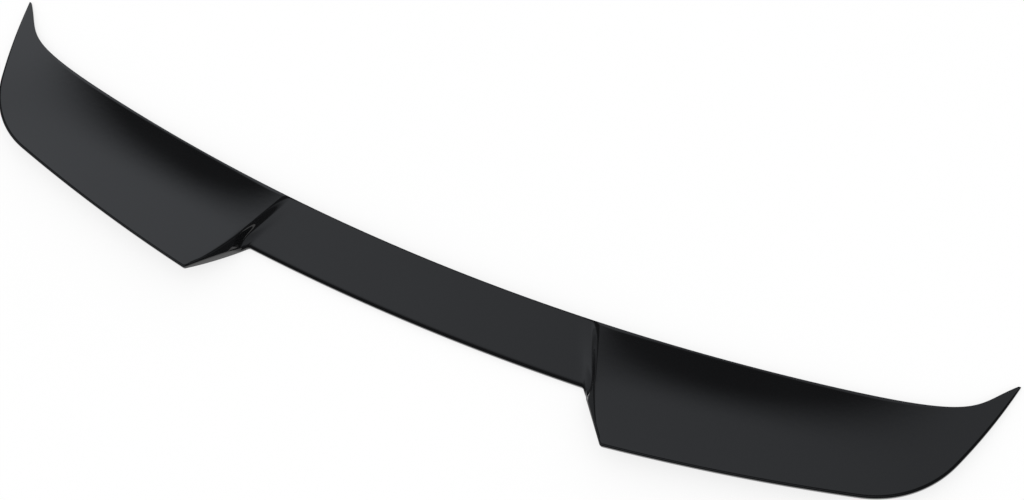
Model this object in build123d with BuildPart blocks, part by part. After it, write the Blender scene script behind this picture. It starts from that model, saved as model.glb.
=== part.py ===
from build123d import *
import os
from math import asin, degrees, exp, tanh

os.makedirs("parts", exist_ok=True)

# Plan sizes in millimetres and degrees: X runs across the car, Y towards its front, Z up.
# The part stands on its two horn tips and the two inner corners of its rear edge.
span = 1200.0
lead_bow = 2580.0
lead_forward = 2.5
centre_chord = 69.0
centre_bow = 2740.0
centre_half = 198.5
notch_fillet = 5.0
notch_angle = 49.0
notch_length = 65.5
nose_radius = 4.0
wing_toe = 9.25
wing_bow = 2370.0
wing_sweep = 6.15
corner_radius = 110.0
corner_turn = 54.5
tip_lead = 112.5
horn_start = 425.0
horn_near = 163.5
horn_far = 54.0
horn_angle = 45.0

# Heights: the slope and crown of the boot lid, and the rise of each wing behind the leading bow.
ground = 12.64
lid_slope = 0.0907
crown = 11.75
kick_inner = 0.2128
kick_outer = 0.2076
hollow = 0.3576
hollow_spread = 1.64
root_flat = 0.592
root_fade = 82.0
kick_chord = 120.0
camber = 0.4

# The step between centre and wing, whose ramp is steepest next to the wing, the sloped rim of the wing
# beside the notch, and the wall with its eased front edge and rounded rear edge.
crease_half = 180.0
crease_width = 9.0
root_width = 17.0
nose_width = 6.0
step_share = 0.30
step_foot = 0.65
rim_width = 26.0
rim_share = 0.6
rim_slope = 0.2
wall_lead = 2.5
wall_rear = 6.0
wall_reach = 35.0
ease_lead = 1.0
round_rear = 2.0

half = span / 2
tip = Vector(half, lead_forward + tip_lead)
lean = degrees(asin(centre_half / centre_bow))

# Front edge of the right half: a long bow that swings forward into the horn.
with BuildLine() as front_plan:
    lead = JernArc((0, lead_forward), (1, 0), lead_bow, degrees(asin(horn_start / lead_bow)))
    horn_pull = Vector(horn_far, 0).rotate(Axis.Z, horn_angle)
    horn = Bezier(lead @ 1, lead @ 1 + (lead % 1) * horn_near, tip - horn_pull, tip)

# Rear edge of the right half: centre bow, notch, wing bow, outer corner and outer side.
with BuildLine() as rear_plan:
    centre_rear = JernArc((0, lead_forward - centre_chord), (1, 0), centre_bow, lean)
    notch_corner = JernArc(centre_rear @ 1, centre_rear % 1, notch_fillet, -lean - notch_angle)
    notch_side = PolarLine(notch_corner @ 1, notch_length, direction=notch_corner % 1)
    nose = JernArc(notch_side @ 1, notch_side % 1, nose_radius, notch_angle + wing_toe)
    wing_rear = JernArc(nose @ 1, nose % 1, wing_bow, wing_sweep)
    outer_corner = JernArc(wing_rear @ 1, wing_rear % 1, corner_radius, corner_turn)
    outer_side = TangentArc(outer_corner @ 1, tip, tangent=outer_corner % 1)


def lid(point):
    """Height of the lid line, which slopes to the rear and is crowned across the car."""
    return ground + lid_slope * point.Y - crown * (point.X / half) ** 2


def kick(point):
    """Rise of the wing over the lid line, growing with the distance behind the leading bow.

    The wing is hollow along its chord, least at the step and at the tip.
    """
    behind = lead_forward + lead_bow - (lead_bow**2 - point.X**2) ** 0.5 - point.Y
    out = max(0.0, (abs(point.X) - centre_half) / (half - centre_half))
    near_step = exp((centre_half - abs(point.X)) / root_fade)
    bend = hollow * (1 - out**hollow_spread) * (1 - root_flat * near_step)
    slope = kick_inner + (kick_outer - kick_inner) * out
    return slope * behind * (1 - bend + bend * behind / kick_chord)


def soft_limit(size, limit):
    """The size, eased off so that it stays below the limit."""
    return limit * tanh(size / limit)


def section(front, rear, rear_way, share):
    """Strip profile in the upright plane from a front to a rear point.

    Its upper corners are eased at the front and rounded at the rear;
    share is the way through the notch: 0 on the centre, 1 on the wing.
    """
    chord = (rear - front).length
    along = (rear - front).normalized()
    wall_end = wall_lead + (wall_rear - wall_lead) * tanh(chord / wall_reach)
    front_nip = soft_limit(ease_lead, 0.3 * chord)
    rear_nip = soft_limit(round_rear / abs(along.cross(rear_way).Z), 0.3 * chord)
    rear_drop = soft_limit(round_rear, wall_end)

    def rise(a):
        foot = step_foot * step_share * (1 - (a / chord) ** 6)
        ramp = min(1.0, max(0.0, share - foot) / (step_share - foot))
        return ramp * ramp * (3 - 2 * ramp)

    def skin(a, lift):
        swell = 4 * camber * a / chord * (1 - a / chord)
        return lid(front + along * a) + lift * kick(front + along * a) + swell

    def top(a):
        rim = max(0.0, a - chord + rim_width * (1 - share / rim_share))
        return skin(a, rise(a)) - rise(a) * rim_slope * rim

    def low(a):
        return skin(a, share) - wall_lead - (wall_end - wall_lead) * a / chord

    stops = [front_nip + (chord - front_nip - rear_nip) * i / 4 for i in range(5)]
    first, last = stops[0], stops[-1]
    with BuildLine(Plane(front, x_dir=along, z_dir=(along.Y, -along.X, 0))) as outline:
        Spline(*[(a, top(a)) for a in stops])
        Bezier((last, top(last)), (chord, top(chord)), (chord, top(chord) - rear_drop))
        Line((chord, top(chord) - rear_drop), (chord, low(chord)))
        Spline(*[(a, low(a)) for a in (chord, *reversed(stops[1:-1]), 0)])
        Line((0, low(0)), (0, top(0) - ease_lead))
        Line((0, top(0) - ease_lead), (first, top(first)))
    return Face(outline.wire())


def stations(steps, rear_edge, rear_span, front_edge, front_span, shares):
    """Row of section stations whose ends step together along a rear and a front edge."""
    row = []
    for step in steps:
        t = rear_span[0] + (rear_span[1] - rear_span[0]) * step
        p = front_span[0] + (front_span[1] - front_span[0]) * step
        share = shares[0] + (shares[1] - shares[0]) * step
        row.append((front_edge @ p, rear_edge @ t, rear_edge % t, share))
    return row


def even(count):
    """Even steps up to 1."""
    return [(i + 1) / count for i in range(count)]


def closing(count):
    """Steps up to 1 that halve towards the end."""
    return [1 - 0.5 ** (i + 1) for i in range(count)] + [1]


def opening(count):
    """Steps up to 1 that double from the start."""
    return [0.5 ** (count - i) for i in range(count)] + [1]


def across(point):
    """The same point or direction on the left half."""
    return Vector(-point.X, point.Y)


# Shares of the leading bow that face the step, and of the notch that its corner and step take.
crease = crease_half / horn_start
step_end = (crease_half + crease_width) / horn_start
root = (crease_half + root_width) / horn_start
nose_start = root + nose_width / horn_start
nose_end = nose_start + nose_width / horn_start
corner_share = notch_corner.length / (notch_corner.length + notch_length)
step_run = (step_share - corner_share) / (1 - corner_share)
crease_mid = crease + (step_end - crease) * corner_share / step_share
share_mid = corner_share + 0.7 * (1 - corner_share)

# Stations of the right half, from beside the middle of the car out to the horn tip.
right = stations([0.2] + closing(6), centre_rear, (0, 1), lead, (0, crease), (0, 0))
right += stations(even(4), notch_corner, (0, 1), lead, (crease, crease_mid), (0, corner_share))
ramp_shares = (corner_share, step_share)
right += stations(even(6), notch_side, (0, step_run), lead, (crease_mid, step_end), ramp_shares)
right += stations(opening(2), notch_side, (step_run, 0.7), lead, (step_end, root), (step_share, share_mid))
right += stations(closing(4), notch_side, (0.7, 1), lead, (root, nose_start), (share_mid, 1))
right += stations(even(3), nose, (0, 1), lead, (nose_start, nose_end), (1, 1))
right += stations(opening(5), wing_rear, (0, 0.8), lead, (nose_end, 1), (1, 1))
right += stations(even(3), wing_rear, (0.8, 1), horn, (0, 0.1), (1, 1))
right += stations(even(5), outer_corner, (0, 1), horn, (0.1, 0.4), (1, 1))
right += stations(closing(5), outer_side, (0, 0.97), horn, (0.4, 0.97), (1, 1))
left = [(across(front), across(rear), across(way), share) for front, rear, way, share in reversed(right)]

# One moulding, lofted from tip to tip.
with BuildPart() as spoiler:
    loft(sections=[section(*station) for station in left + right])

spoiler.part.label = "spoiler"
export_step(spoiler.part, "parts/spoiler.step")
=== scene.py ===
import bpy
import numpy as np
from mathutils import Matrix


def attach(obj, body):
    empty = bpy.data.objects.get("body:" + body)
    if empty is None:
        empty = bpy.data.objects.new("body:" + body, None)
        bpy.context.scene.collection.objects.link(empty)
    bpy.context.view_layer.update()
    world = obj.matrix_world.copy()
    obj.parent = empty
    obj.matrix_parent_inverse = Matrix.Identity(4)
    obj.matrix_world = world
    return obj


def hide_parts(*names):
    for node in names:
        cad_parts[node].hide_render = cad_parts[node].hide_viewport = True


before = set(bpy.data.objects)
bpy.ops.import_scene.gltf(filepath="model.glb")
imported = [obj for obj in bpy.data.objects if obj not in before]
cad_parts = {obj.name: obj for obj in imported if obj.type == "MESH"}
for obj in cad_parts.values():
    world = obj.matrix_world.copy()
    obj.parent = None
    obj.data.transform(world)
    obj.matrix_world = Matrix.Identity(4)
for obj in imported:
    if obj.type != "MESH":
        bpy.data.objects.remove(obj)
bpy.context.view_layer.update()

# Spoiler.
# One gloss black moulding for the rear edge of a boot lid: a flat centre, two wings that rise behind
# a notch, and horn tips that sweep forward. Its wall thickens from the front edge to the rear edge.

# Plan in millimetres and degrees, right half.
half = 600.0
lead_bow = 2580.0
lead_forward = 2.5
centre_chord = 69.0
centre_bow = 2740.0
centre_half = 198.5
notch_fillet = 5.0
notch_angle = 49.0
notch_length = 65.5
nose_radius = 4.0
wing_toe = 9.25
wing_bow = 2370.0
wing_sweep = 6.15
corner_radius = 110.0
corner_turn = 54.5
tip_lead = 112.5
horn_start = 425.0
horn_near = 163.5
horn_far = 54.0
horn_angle = 45.0

# Heights and wall.
ground = 12.64
lid_slope = 0.0907
crown = 11.75
kick_inner = 0.2128
kick_outer = 0.2076
hollow = 0.3576
hollow_spread = 1.64
root_flat = 0.592
root_fade = 82.0
kick_chord = 120.0
camber = 0.4
wall_lead = 2.5
wall_rear = 6.0
wall_reach = 35.0
wall_least = 2.0

# Step, by the two lines in plan that its ramp climbs between, and the rim beside the notch.
foot_out = 179.5
foot_slant = 0.46
foot_bend = 0.0153
head_out = 190.0
head_slant = 0.37
head_bend = 0.0101
bend_start = 55.0
shoulder = 15.0
softness = 0.18
rim_width = 12.0
rim_taper = 1.6
rim_slope = 0.7
rim_blend = 1.0

# Rounded edges. The roll at the rear narrows from centre to wing over roll_share of the notch, and the
# limits are shares of the chord.
round_lead = 0.6
round_rear = 2.0
roll_centre = 6.0
roll_wing = 3.0
roll_share = 0.28
round_low = 0.5
nip_limit = 0.3
low_limit = 0.1

# Front points of the stations that fan out through the notch, and the shares at which runs of stations
# meet.
fan_start = 174.0
fan_middle = 11.7
fan_root = 23.0
fan_nose = 6.0
fan_share = 0.40
nose_reach = 0.7
bow_share = 0.8
bow_horn = 0.1
corner_horn = 0.4
tip_share = 0.97


def heading(angle):
    """Unit vectors of plan angles, in radians from +X."""
    return np.stack([np.cos(angle), np.sin(angle)], -1)


def arc(start, angle, radius, turn, t):
    """Points and headings at shares t of an arc: the centre lies a radius to the left of the start,
    and the heading grows by turn. A negative radius and turn bend to the right."""
    angles = angle + turn * t
    centre = start + radius * heading(angle + np.pi / 2)
    return centre - radius * heading(angles + np.pi / 2), angles


def steps(count):
    """Even shares above 0, up to 1."""
    return np.arange(1, count + 1) / count


def lead_at(p):
    """Points of the leading bow at shares p of its half length."""
    return arc(np.array([0, lead_forward]), 0.0, lead_bow, np.arcsin(horn_start / lead_bow), p)[0]


tip = np.array([half, lead_forward + tip_lead])
lead_end = lead_at(np.ones(1))[0]
horn_points = [
    lead_end,
    lead_end + horn_near * heading(np.arcsin(horn_start / lead_bow)),
    tip - horn_far * heading(np.radians(horn_angle)),
    tip,
]


def horn_at(p):
    """Points of the horn's front edge: a cubic that leaves the bow and turns forward to the tip."""
    p = p[:, None]
    a, b, c, d = horn_points
    return (1 - p) ** 3 * a + 3 * (1 - p) ** 2 * p * b + 3 * (1 - p) * p * p * c + p**3 * d


lean = np.arcsin(centre_half / centre_bow)
fall = -np.radians(notch_angle)
corner_length = notch_fillet * (lean - fall)
corner_share = corner_length / (corner_length + notch_length)
inner, middle, root = ((fan_start + w) / horn_start for w in (0.0, fan_middle, fan_root))
nose_step = fan_nose / horn_start
corner_front = inner + (middle - inner) * corner_share / fan_share
middle_reach = (fan_share - corner_share) / (1 - corner_share)
nose_share = corner_share + nose_reach * (1 - corner_share)

# Runs of stations along the rear edge, from the middle out, each with as many stations as steps() is given:
# the edge's points and headings, the front points that they face, and their share of the way through the
# notch.
runs = []
s = np.concatenate([[0.0], steps(44)])
points, angles = arc(np.array([0, lead_forward - centre_chord]), 0.0, centre_bow, lean, s)
runs.append((points, angles, lead_at(inner * s), 0 * s))
s = steps(12)
points, angles = arc(points[-1], angles[-1], -notch_fillet, fall - lean, s)
runs.append((points, angles, lead_at(inner + (corner_front - inner) * s), corner_share * s))
notch_start = points[-1]
for count, t0, t1, p0, p1, share0, share1 in (
    (60, 0, middle_reach, corner_front, middle, corner_share, fan_share),
    (20, middle_reach, nose_reach, middle, root, fan_share, nose_share),
    (16, nose_reach, 1, root, root + nose_step, nose_share, 1),
):
    s = steps(count)
    points = notch_start + notch_length * (t0 + (t1 - t0) * s)[:, None] * heading(fall)
    share = share0 + (share1 - share0) * s
    runs.append((points, 0 * s + fall, lead_at(p0 + (p1 - p0) * s), share))
s = steps(14)
points, angles = arc(points[-1], fall, nose_radius, np.radians(wing_toe) - fall, s)
runs.append((points, angles, lead_at(root + nose_step * (1 + s)), 0 * s + 1))
wing_start, wing_turn = (points[-1], angles[-1]), np.radians(wing_sweep)
s = steps(100)
points, angles = arc(*wing_start, wing_bow, wing_turn, bow_share * s)
runs.append((points, angles, lead_at(1 - (1 - root - 2 * nose_step) * (1 - s)), 0 * s + 1))
s = steps(16)
points, angles = arc(*wing_start, wing_bow, wing_turn, bow_share + (1 - bow_share) * s)
runs.append((points, angles, horn_at(bow_horn * s), 0 * s + 1))
s = steps(50)
points, angles = arc(points[-1], angles[-1], corner_radius, np.radians(corner_turn), s)
runs.append((points, angles, horn_at(bow_horn + (corner_horn - bow_horn) * s), 0 * s + 1))
s = steps(60)
reach = tip - points[-1]
bend = np.arctan2(reach[1], reach[0]) - angles[-1]
tip_radius = np.hypot(*reach) / 2 / np.sin(bend)
points, angles = arc(points[-1], angles[-1], tip_radius, 2 * bend, tip_share * s)
runs.append((points, angles, horn_at(corner_horn + (tip_share - corner_horn) * s), 0 * s + 1))
rear, rear_angle, front, share = (np.concatenate(column) for column in zip(*runs))


def spot(a):
    """Plan x and y at distances a behind the front points, and how far that is behind the leading bow."""
    x, y = front[:, :1] + along[:, :1] * a, front[:, 1:] + along[:, 1:] * a
    return x, y, lead_forward + lead_bow - np.sqrt(lead_bow**2 - x * x) - y


def skin(a, lift):
    """Height at distances a behind the front points: the lid line, plus lift times the wing's rise,
    which grows with the distance behind the leading bow and is hollow along the chord, least at the step
    and at the tip, plus a slight swell along the centre."""
    x, y, behind = spot(a)
    out = np.clip((x - centre_half) / (half - centre_half), 0, None)
    dip = hollow * (1 - out**hollow_spread) * (1 - root_flat * np.exp((centre_half - x) / root_fade))
    rise = (kick_inner + (kick_outer - kick_inner) * out) * behind
    rise = rise * (1 - dip + dip * behind / kick_chord)
    lid = ground + lid_slope * y - crown * (x / half) ** 2
    return lid + lift * rise + (1 - lift) * 4 * camber * a / chord * (1 - a / chord)


def smooth(u):
    """0 below 0, 1 above 1 and a cubic between them."""
    u = np.clip(u, 0, 1)
    return u * u * (3 - 2 * u)


def top(a):
    """Show side. The step climbs by a cubic ramp between two lines in plan, which slant outwards from the
    front edge and swing back near the notch, and has a soft shoulder on the centre. A rim of the wing
    slopes down to the notch, and narrows from the inner corner to the wing's nose."""
    x, y, behind = spot(a)
    swing = np.clip(behind - bend_start, 0, None) ** 2
    foot = foot_out + foot_slant * behind - foot_bend * swing
    head = head_out + head_slant * behind - head_bend * swing
    ramp = (1 - softness) * smooth((x - foot) / (head - foot))
    ramp = ramp + softness * smooth((x - foot + shoulder) / (head - foot + shoulder))
    off = np.stack([x, y], -1) - notch_start
    left_over = np.clip(1 - off @ heading(fall) / notch_length, 0, 1)
    rim = rim_width * left_over**rim_taper - off @ heading(fall + np.pi / 2)
    return skin(a, ramp) - ramp * rim_slope * (rim + np.sqrt(rim * rim + rim_blend**2)) / 2


def low(a):
    """Underside: the lid line and the wing's rise, less a wall that grows evenly to the rear. It rises
    evenly through the notch, so that its edge there is straight, and leaves a least wall under the top."""
    even = skin(a, share[:, None]) - wall_lead - (wall_end - wall_lead) * a / chord
    return np.minimum(even, top(a) - wall_least)


def soft_limit(size, limit):
    """The size, eased off by a hyperbolic tangent so that it stays below the limit."""
    return limit * np.tanh(size / limit)


def rounded(a0, z0, a1, z1, a2, z2, count):
    """Points of a rounded corner: a parabola from the first point to the last, turned at the middle one."""
    q = np.linspace(0, 1, count + 1)[None, :]
    mix = ((1 - q) ** 2, 2 * q * (1 - q), q * q)
    return mix[0] * a0 + mix[1] * a1 + mix[2] * a2, mix[0] * z0 + mix[1] * z1 + mix[2] * z2


chord = np.linalg.norm(rear - front, axis=1)[:, None]
along = (rear - front) / chord
skew = np.abs(along[:, :1] * np.sin(rear_angle)[:, None] - along[:, 1:] * np.cos(rear_angle)[:, None])
wall_end = wall_lead + (wall_rear - wall_lead) * np.tanh(chord / wall_reach)
front_nip = soft_limit(round_lead, nip_limit * chord)
low_nip = np.minimum(round_low, low_limit * chord)
roll = roll_centre + (roll_wing - roll_centre) * np.minimum(1, share / roll_share)[:, None]
rear_nip = soft_limit(roll / skew, nip_limit * chord)
rear_drop = soft_limit(round_rear, wall_end)
last = chord - rear_nip
zero = 0 * chord

# Points round each station: along the top, closer together towards the rear, round the rear edge, back
# along the underside and round the front edge. Points that two stretches share are kept once.
top_count, roll_count, corner_count, low_count, lead_count = 57, 8, 4, 25, 6
crowding = 0.6
sweep = np.linspace(0, 1, top_count)[None, :]
sweep = sweep * (1 + crowding - crowding * sweep)
a_top = front_nip + (last - front_nip) * sweep
a_low = low_nip + (chord - 2 * low_nip) * np.linspace(1, 0, low_count)[None, :]
inset = chord - low_nip
loop = [
    (a_top, top(a_top)),
    rounded(last, top(last), chord, top(chord), chord, top(chord) - rear_drop, roll_count),
    rounded(chord, low(chord) + round_low, chord, low(chord), inset, low(inset), corner_count),
    (a_low, low(a_low)),
    rounded(low_nip, low(low_nip), zero, low(zero), zero, low(zero) + round_low, corner_count),
    rounded(zero, top(zero) - round_lead, zero, top(zero), front_nip, top(front_nip), lead_count),
]
keep = (slice(0, None), slice(1, None), slice(0, -1), slice(0, None), slice(1, None), slice(0, -1))
a_ring = np.concatenate([a[:, kept] for (a, z), kept in zip(loop, keep)], 1)
z_ring = np.concatenate([z[:, kept] for (a, z), kept in zip(loop, keep)], 1)
under = np.zeros(a_ring.shape[1])
first_low = top_count + roll_count + corner_count
under[first_low : first_low + low_count] = 1.0

# Both halves as one grid in metres, closed at each tip by triangles round its middle.
x_ring, y_ring, _ = spot(a_ring)
right = np.stack([x_ring, y_ring, z_ring], -1)
left = right[:0:-1] * np.array([-1.0, 1.0, 1.0])
grid = np.concatenate([left, right]) / 1000
rows, ring = grid.shape[:2]
i, j = np.meshgrid(np.arange(rows - 1), np.arange(ring), indexing="ij")
k = (j + 1) % ring
quads = np.stack([i * ring + j, i * ring + k, (i + 1) * ring + k, (i + 1) * ring + j], -1).reshape(-1, 4)
edge = np.arange(ring)
after = (edge + 1) % ring
last_row = (rows - 1) * ring
ends = [
    np.stack([edge, np.full(ring, rows * ring), after], -1),
    np.stack([after + last_row, np.full(ring, rows * ring + 1), edge + last_row], -1),
]
verts = np.concatenate([grid.reshape(-1, 3), grid[:1].mean(1), grid[-1:].mean(1)])
mesh = bpy.data.meshes.new("spoiler_skin")
mesh.from_pydata(verts.tolist(), [], quads.tolist() + ends[0].tolist() + ends[1].tolist())
mesh.polygons.foreach_set("use_smooth", np.ones(len(mesh.polygons), bool))
mark = mesh.attributes.new("underside", "FLOAT", "POINT")
mark.data.foreach_set("value", np.concatenate([np.tile(under, rows), [0.0, 0.0]]))
mesh.update()
spoiler = bpy.data.objects.new("spoiler_skin", mesh)
bpy.context.scene.collection.objects.link(spoiler)
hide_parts("spoiler")
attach(spoiler, "root")


class Sock:
    """A shader socket that takes part in Python sums; make() adds any other node."""

    def __init__(self, tree, socket):
        self.tree, self.socket = tree, socket

    def make(self, kind, inputs, out=0, **settings):
        node = self.tree.nodes.new(kind)
        for name, value in settings.items():
            setattr(node, name, value)
        for name, value in inputs.items():
            if isinstance(value, Sock):
                self.tree.links.new(value.socket, node.inputs[name])
            else:
                node.inputs[name].default_value = value
        return Sock(self.tree, node.outputs[out])

    def math(self, operation, a, b):
        return self.make("ShaderNodeMath", {0: a, 1: b}, operation=operation)

    def __add__(self, other):
        return self.math("ADD", self, other)

    def __sub__(self, other):
        return self.math("SUBTRACT", self, other)

    def __rsub__(self, other):
        return self.math("SUBTRACT", other, self)

    def __mul__(self, other):
        return self.math("MULTIPLY", self, other)

    __radd__, __rmul__ = __add__, __mul__

    def ramp(self, low, high):
        """0 below low, 1 above high, smooth between."""
        inputs = {"Value": self, "From Min": low, "From Max": high}
        return self.make("ShaderNodeMapRange", inputs, interpolation_type="SMOOTHSTEP")


def material(name):
    """An empty material with its Principled shader and object coordinates."""
    made = bpy.data.materials.new(name)
    made.use_nodes = True
    tree = made.node_tree
    shader = tree.nodes["Principled BSDF"]
    place = Sock(tree, tree.nodes.new("ShaderNodeTexCoord").outputs["Object"])
    return made, tree, shader, place


def noise(place, scale, detail):
    """Smooth noise from 0 to 1, with about scale patches a metre."""
    return place.make("ShaderNodeTexNoise", {"Vector": place, "Scale": scale, "Detail": detail})


# Gloss on the show side, with a faint orange peel and hazy patches; the hidden side keeps the matt grain
# of the tool.
gloss, tree, shader, place = material("gloss_black")
hidden = place.make("ShaderNodeAttribute", {}, out="Fac", attribute_name="underside")
haze = noise(place, scale=7.0, detail=4.0)
peel = noise(place, scale=190.0, detail=2.0)
grain = noise(place, scale=2600.0, detail=2.0)
tone = 0.0035 + 0.002 * haze + 0.006 * hidden
colour = place.make("ShaderNodeCombineColor", {"Red": tone, "Green": tone * 1.02, "Blue": tone * 1.10})
tree.links.new(colour.socket, shader.inputs["Base Color"])
rough = 0.035 + 0.035 * haze + hidden * 0.4
tree.links.new(rough.socket, shader.inputs["Roughness"])
shader.inputs["IOR"].default_value = 1.5
relief = peel * 0.02 + grain * hidden * 0.3
bump = place.make("ShaderNodeBump", {"Height": relief, "Strength": 0.25, "Distance": 0.001}, out="Normal")
tree.links.new(bump.socket, shader.inputs["Normal"])
spoiler.data.materials.append(gloss)

# Studio.
# A plain white floor in a soft white room. In the gloss the room shows as a bright ceiling and a front
# wall, lighter to the left, with a dark gap between them.
floor_half = 9.0
corners = [(-1, -1), (1, -1), (1, 1), (-1, 1)]
floor_mesh = bpy.data.meshes.new("floor")
floor_mesh.from_pydata([(u * floor_half, v * floor_half, 0.0) for u, v in corners], [], [(0, 1, 2, 3)])
floor = bpy.data.objects.new("floor", floor_mesh)
bpy.context.scene.collection.objects.link(floor)
paper, tree, shader, place = material("paper")
shade = 0.95 + 0.02 * noise(place, scale=3.0, detail=3.0)
grey = place.make("ShaderNodeCombineColor", {"Red": shade, "Green": shade, "Blue": shade})
tree.links.new(grey.socket, shader.inputs["Base Color"])
shader.inputs["Roughness"].default_value = 0.9
shader.inputs["IOR"].default_value = 1.05

# Seen or mirrored, the paper is mostly plain white, and what is left of it keeps the shadow.
white_seen = 0.75
white_mirrored = 0.8
ray = {name: Sock(tree, socket) for name, socket in tree.nodes.new("ShaderNodeLightPath").outputs.items()}
mirrored = place.math("MAXIMUM", ray["Is Glossy Ray"], ray["Is Transmission Ray"])
watched = ray["Is Camera Ray"] * white_seen + mirrored * white_mirrored
glow = place.make("ShaderNodeEmission", {"Color": (1.0, 1.0, 1.0, 1.0), "Strength": 1.0})
mixed = place.make("ShaderNodeMixShader", {0: watched, 1: Sock(tree, shader.outputs[0]), 2: glow})
tree.links.new(mixed.socket, tree.nodes["Material Output"].inputs["Surface"])
floor.data.materials.append(paper)

# The room by direction, as glossy rays meet it, in a slightly cool white. All other rays meet plain white.
# Each span is where a part of the room fades in or out, in the x or y of the direction.
ceiling_rear = (-0.34, -0.02)
ceiling_front = (0.14, 0.24)
ceiling_left = (0.40, 0.60)
wall_near = (0.438, 0.484)
wall_far = (0.58, 0.70)
wall_slant = 0.1555
right_end = (0.20, 0.50)
left_end = (0.65, 0.85)
cool = (0.955, 1.0, 1.07)
plain = 1.04
world = bpy.data.worlds.new("room")
bpy.context.scene.world = world
world.use_nodes = True
tree = world.node_tree
sky = tree.nodes["Background"]
way = Sock(tree, tree.nodes.new("ShaderNodeTexCoord").outputs["Generated"])
path = Sock(tree, tree.nodes.new("ShaderNodeLightPath").outputs["Is Glossy Ray"])
split = way.make("ShaderNodeSeparateXYZ", {"Vector": way}).socket.node.outputs
x, y = Sock(tree, split["X"]), Sock(tree, split["Y"])
left_side = 0.0 - x
ceiling = y.ramp(*ceiling_rear) * (1.0 - y.ramp(*ceiling_front)) * (0.36 + left_side * 0.92)
ceiling = ceiling * (1.0 - left_side.ramp(*ceiling_left) * 0.55)
wall = (y - x * wall_slant).ramp(*wall_near) * (1.0 - y.ramp(*wall_far) * 0.85)
wall = wall * (0.485 + left_side * (0.37 + left_side * 1.55))
inside = (1.0 - x.ramp(*right_end)) * (1.0 - left_side.ramp(*left_end) * 0.5)
room = 0.05 + inside * (ceiling + wall)
seen = [path * room * tint + (1.0 - path) * plain for tint in cool]
light = way.make("ShaderNodeCombineColor", dict(zip(("Red", "Green", "Blue"), seen)))
tree.links.new(light.socket, sky.inputs["Color"])
sky.inputs["Strength"].default_value = 1.0

# Camera.
# The photograph's own view: high, behind and to the right of the part. Its focal length was fitted in
# pixels of the photograph.
focal_pixels = 1800
photo_width = 1024
camera = bpy.data.cameras.new("camera")
camera.sensor_width = 36.0
camera.lens = focal_pixels / photo_width * camera.sensor_width
camera.clip_end = 50.0
eye = bpy.data.objects.new("camera", camera)
bpy.context.scene.collection.objects.link(eye)
bpy.context.scene.camera = eye
eye.location = (0.61256, -0.45716, 1.75596)
eye.rotation_euler = np.radians((21.342, 8.772, 25.808))

bpy.context.scene.view_settings.view_transform = "Standard"
